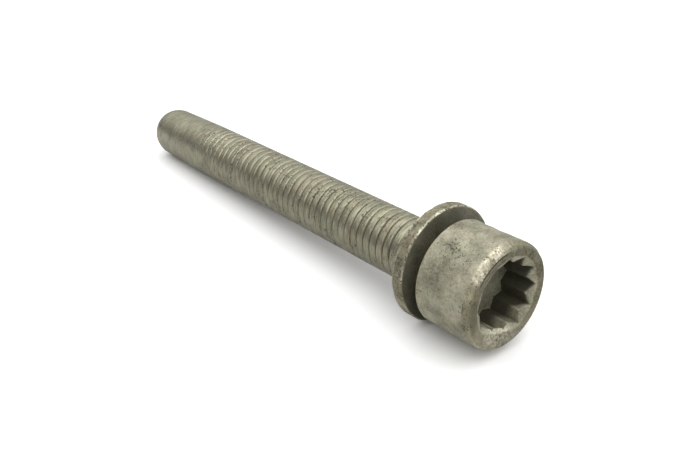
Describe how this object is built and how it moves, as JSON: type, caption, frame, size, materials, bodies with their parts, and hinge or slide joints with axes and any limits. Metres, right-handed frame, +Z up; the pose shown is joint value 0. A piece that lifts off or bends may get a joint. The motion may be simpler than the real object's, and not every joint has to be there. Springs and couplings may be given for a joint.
{
  "type": "twelve-point socket cap screw",
  "caption": "Long socket-head cap screw with a twelve-point spline drive, a shallow thread with broad flat lands, a smooth ball-ended pilot and a loose flat washer under its head.",
  "frame": {"origin": "on the surface that the screw lies on, under the middle of its box", "axes": "+X runs along the screw towards its head, +Z is up, and Y is across; the screw lies at rest, so its own axis rises 2.8 degrees towards the head"},
  "size_m": [0.0952, 0.018, 0.018],
  "materials": {
    "coated_steel": "matt grey-green coating on steel, mottled, with dark pits and scuffs",
    "washer_steel": "matt grey-green coating on steel, mottled, with scuffed edges"
  },
  "bodies": {
    "root": {"cap_screw": "coated_steel", "washer": "washer_steel"}
  },
  "joints": []
}
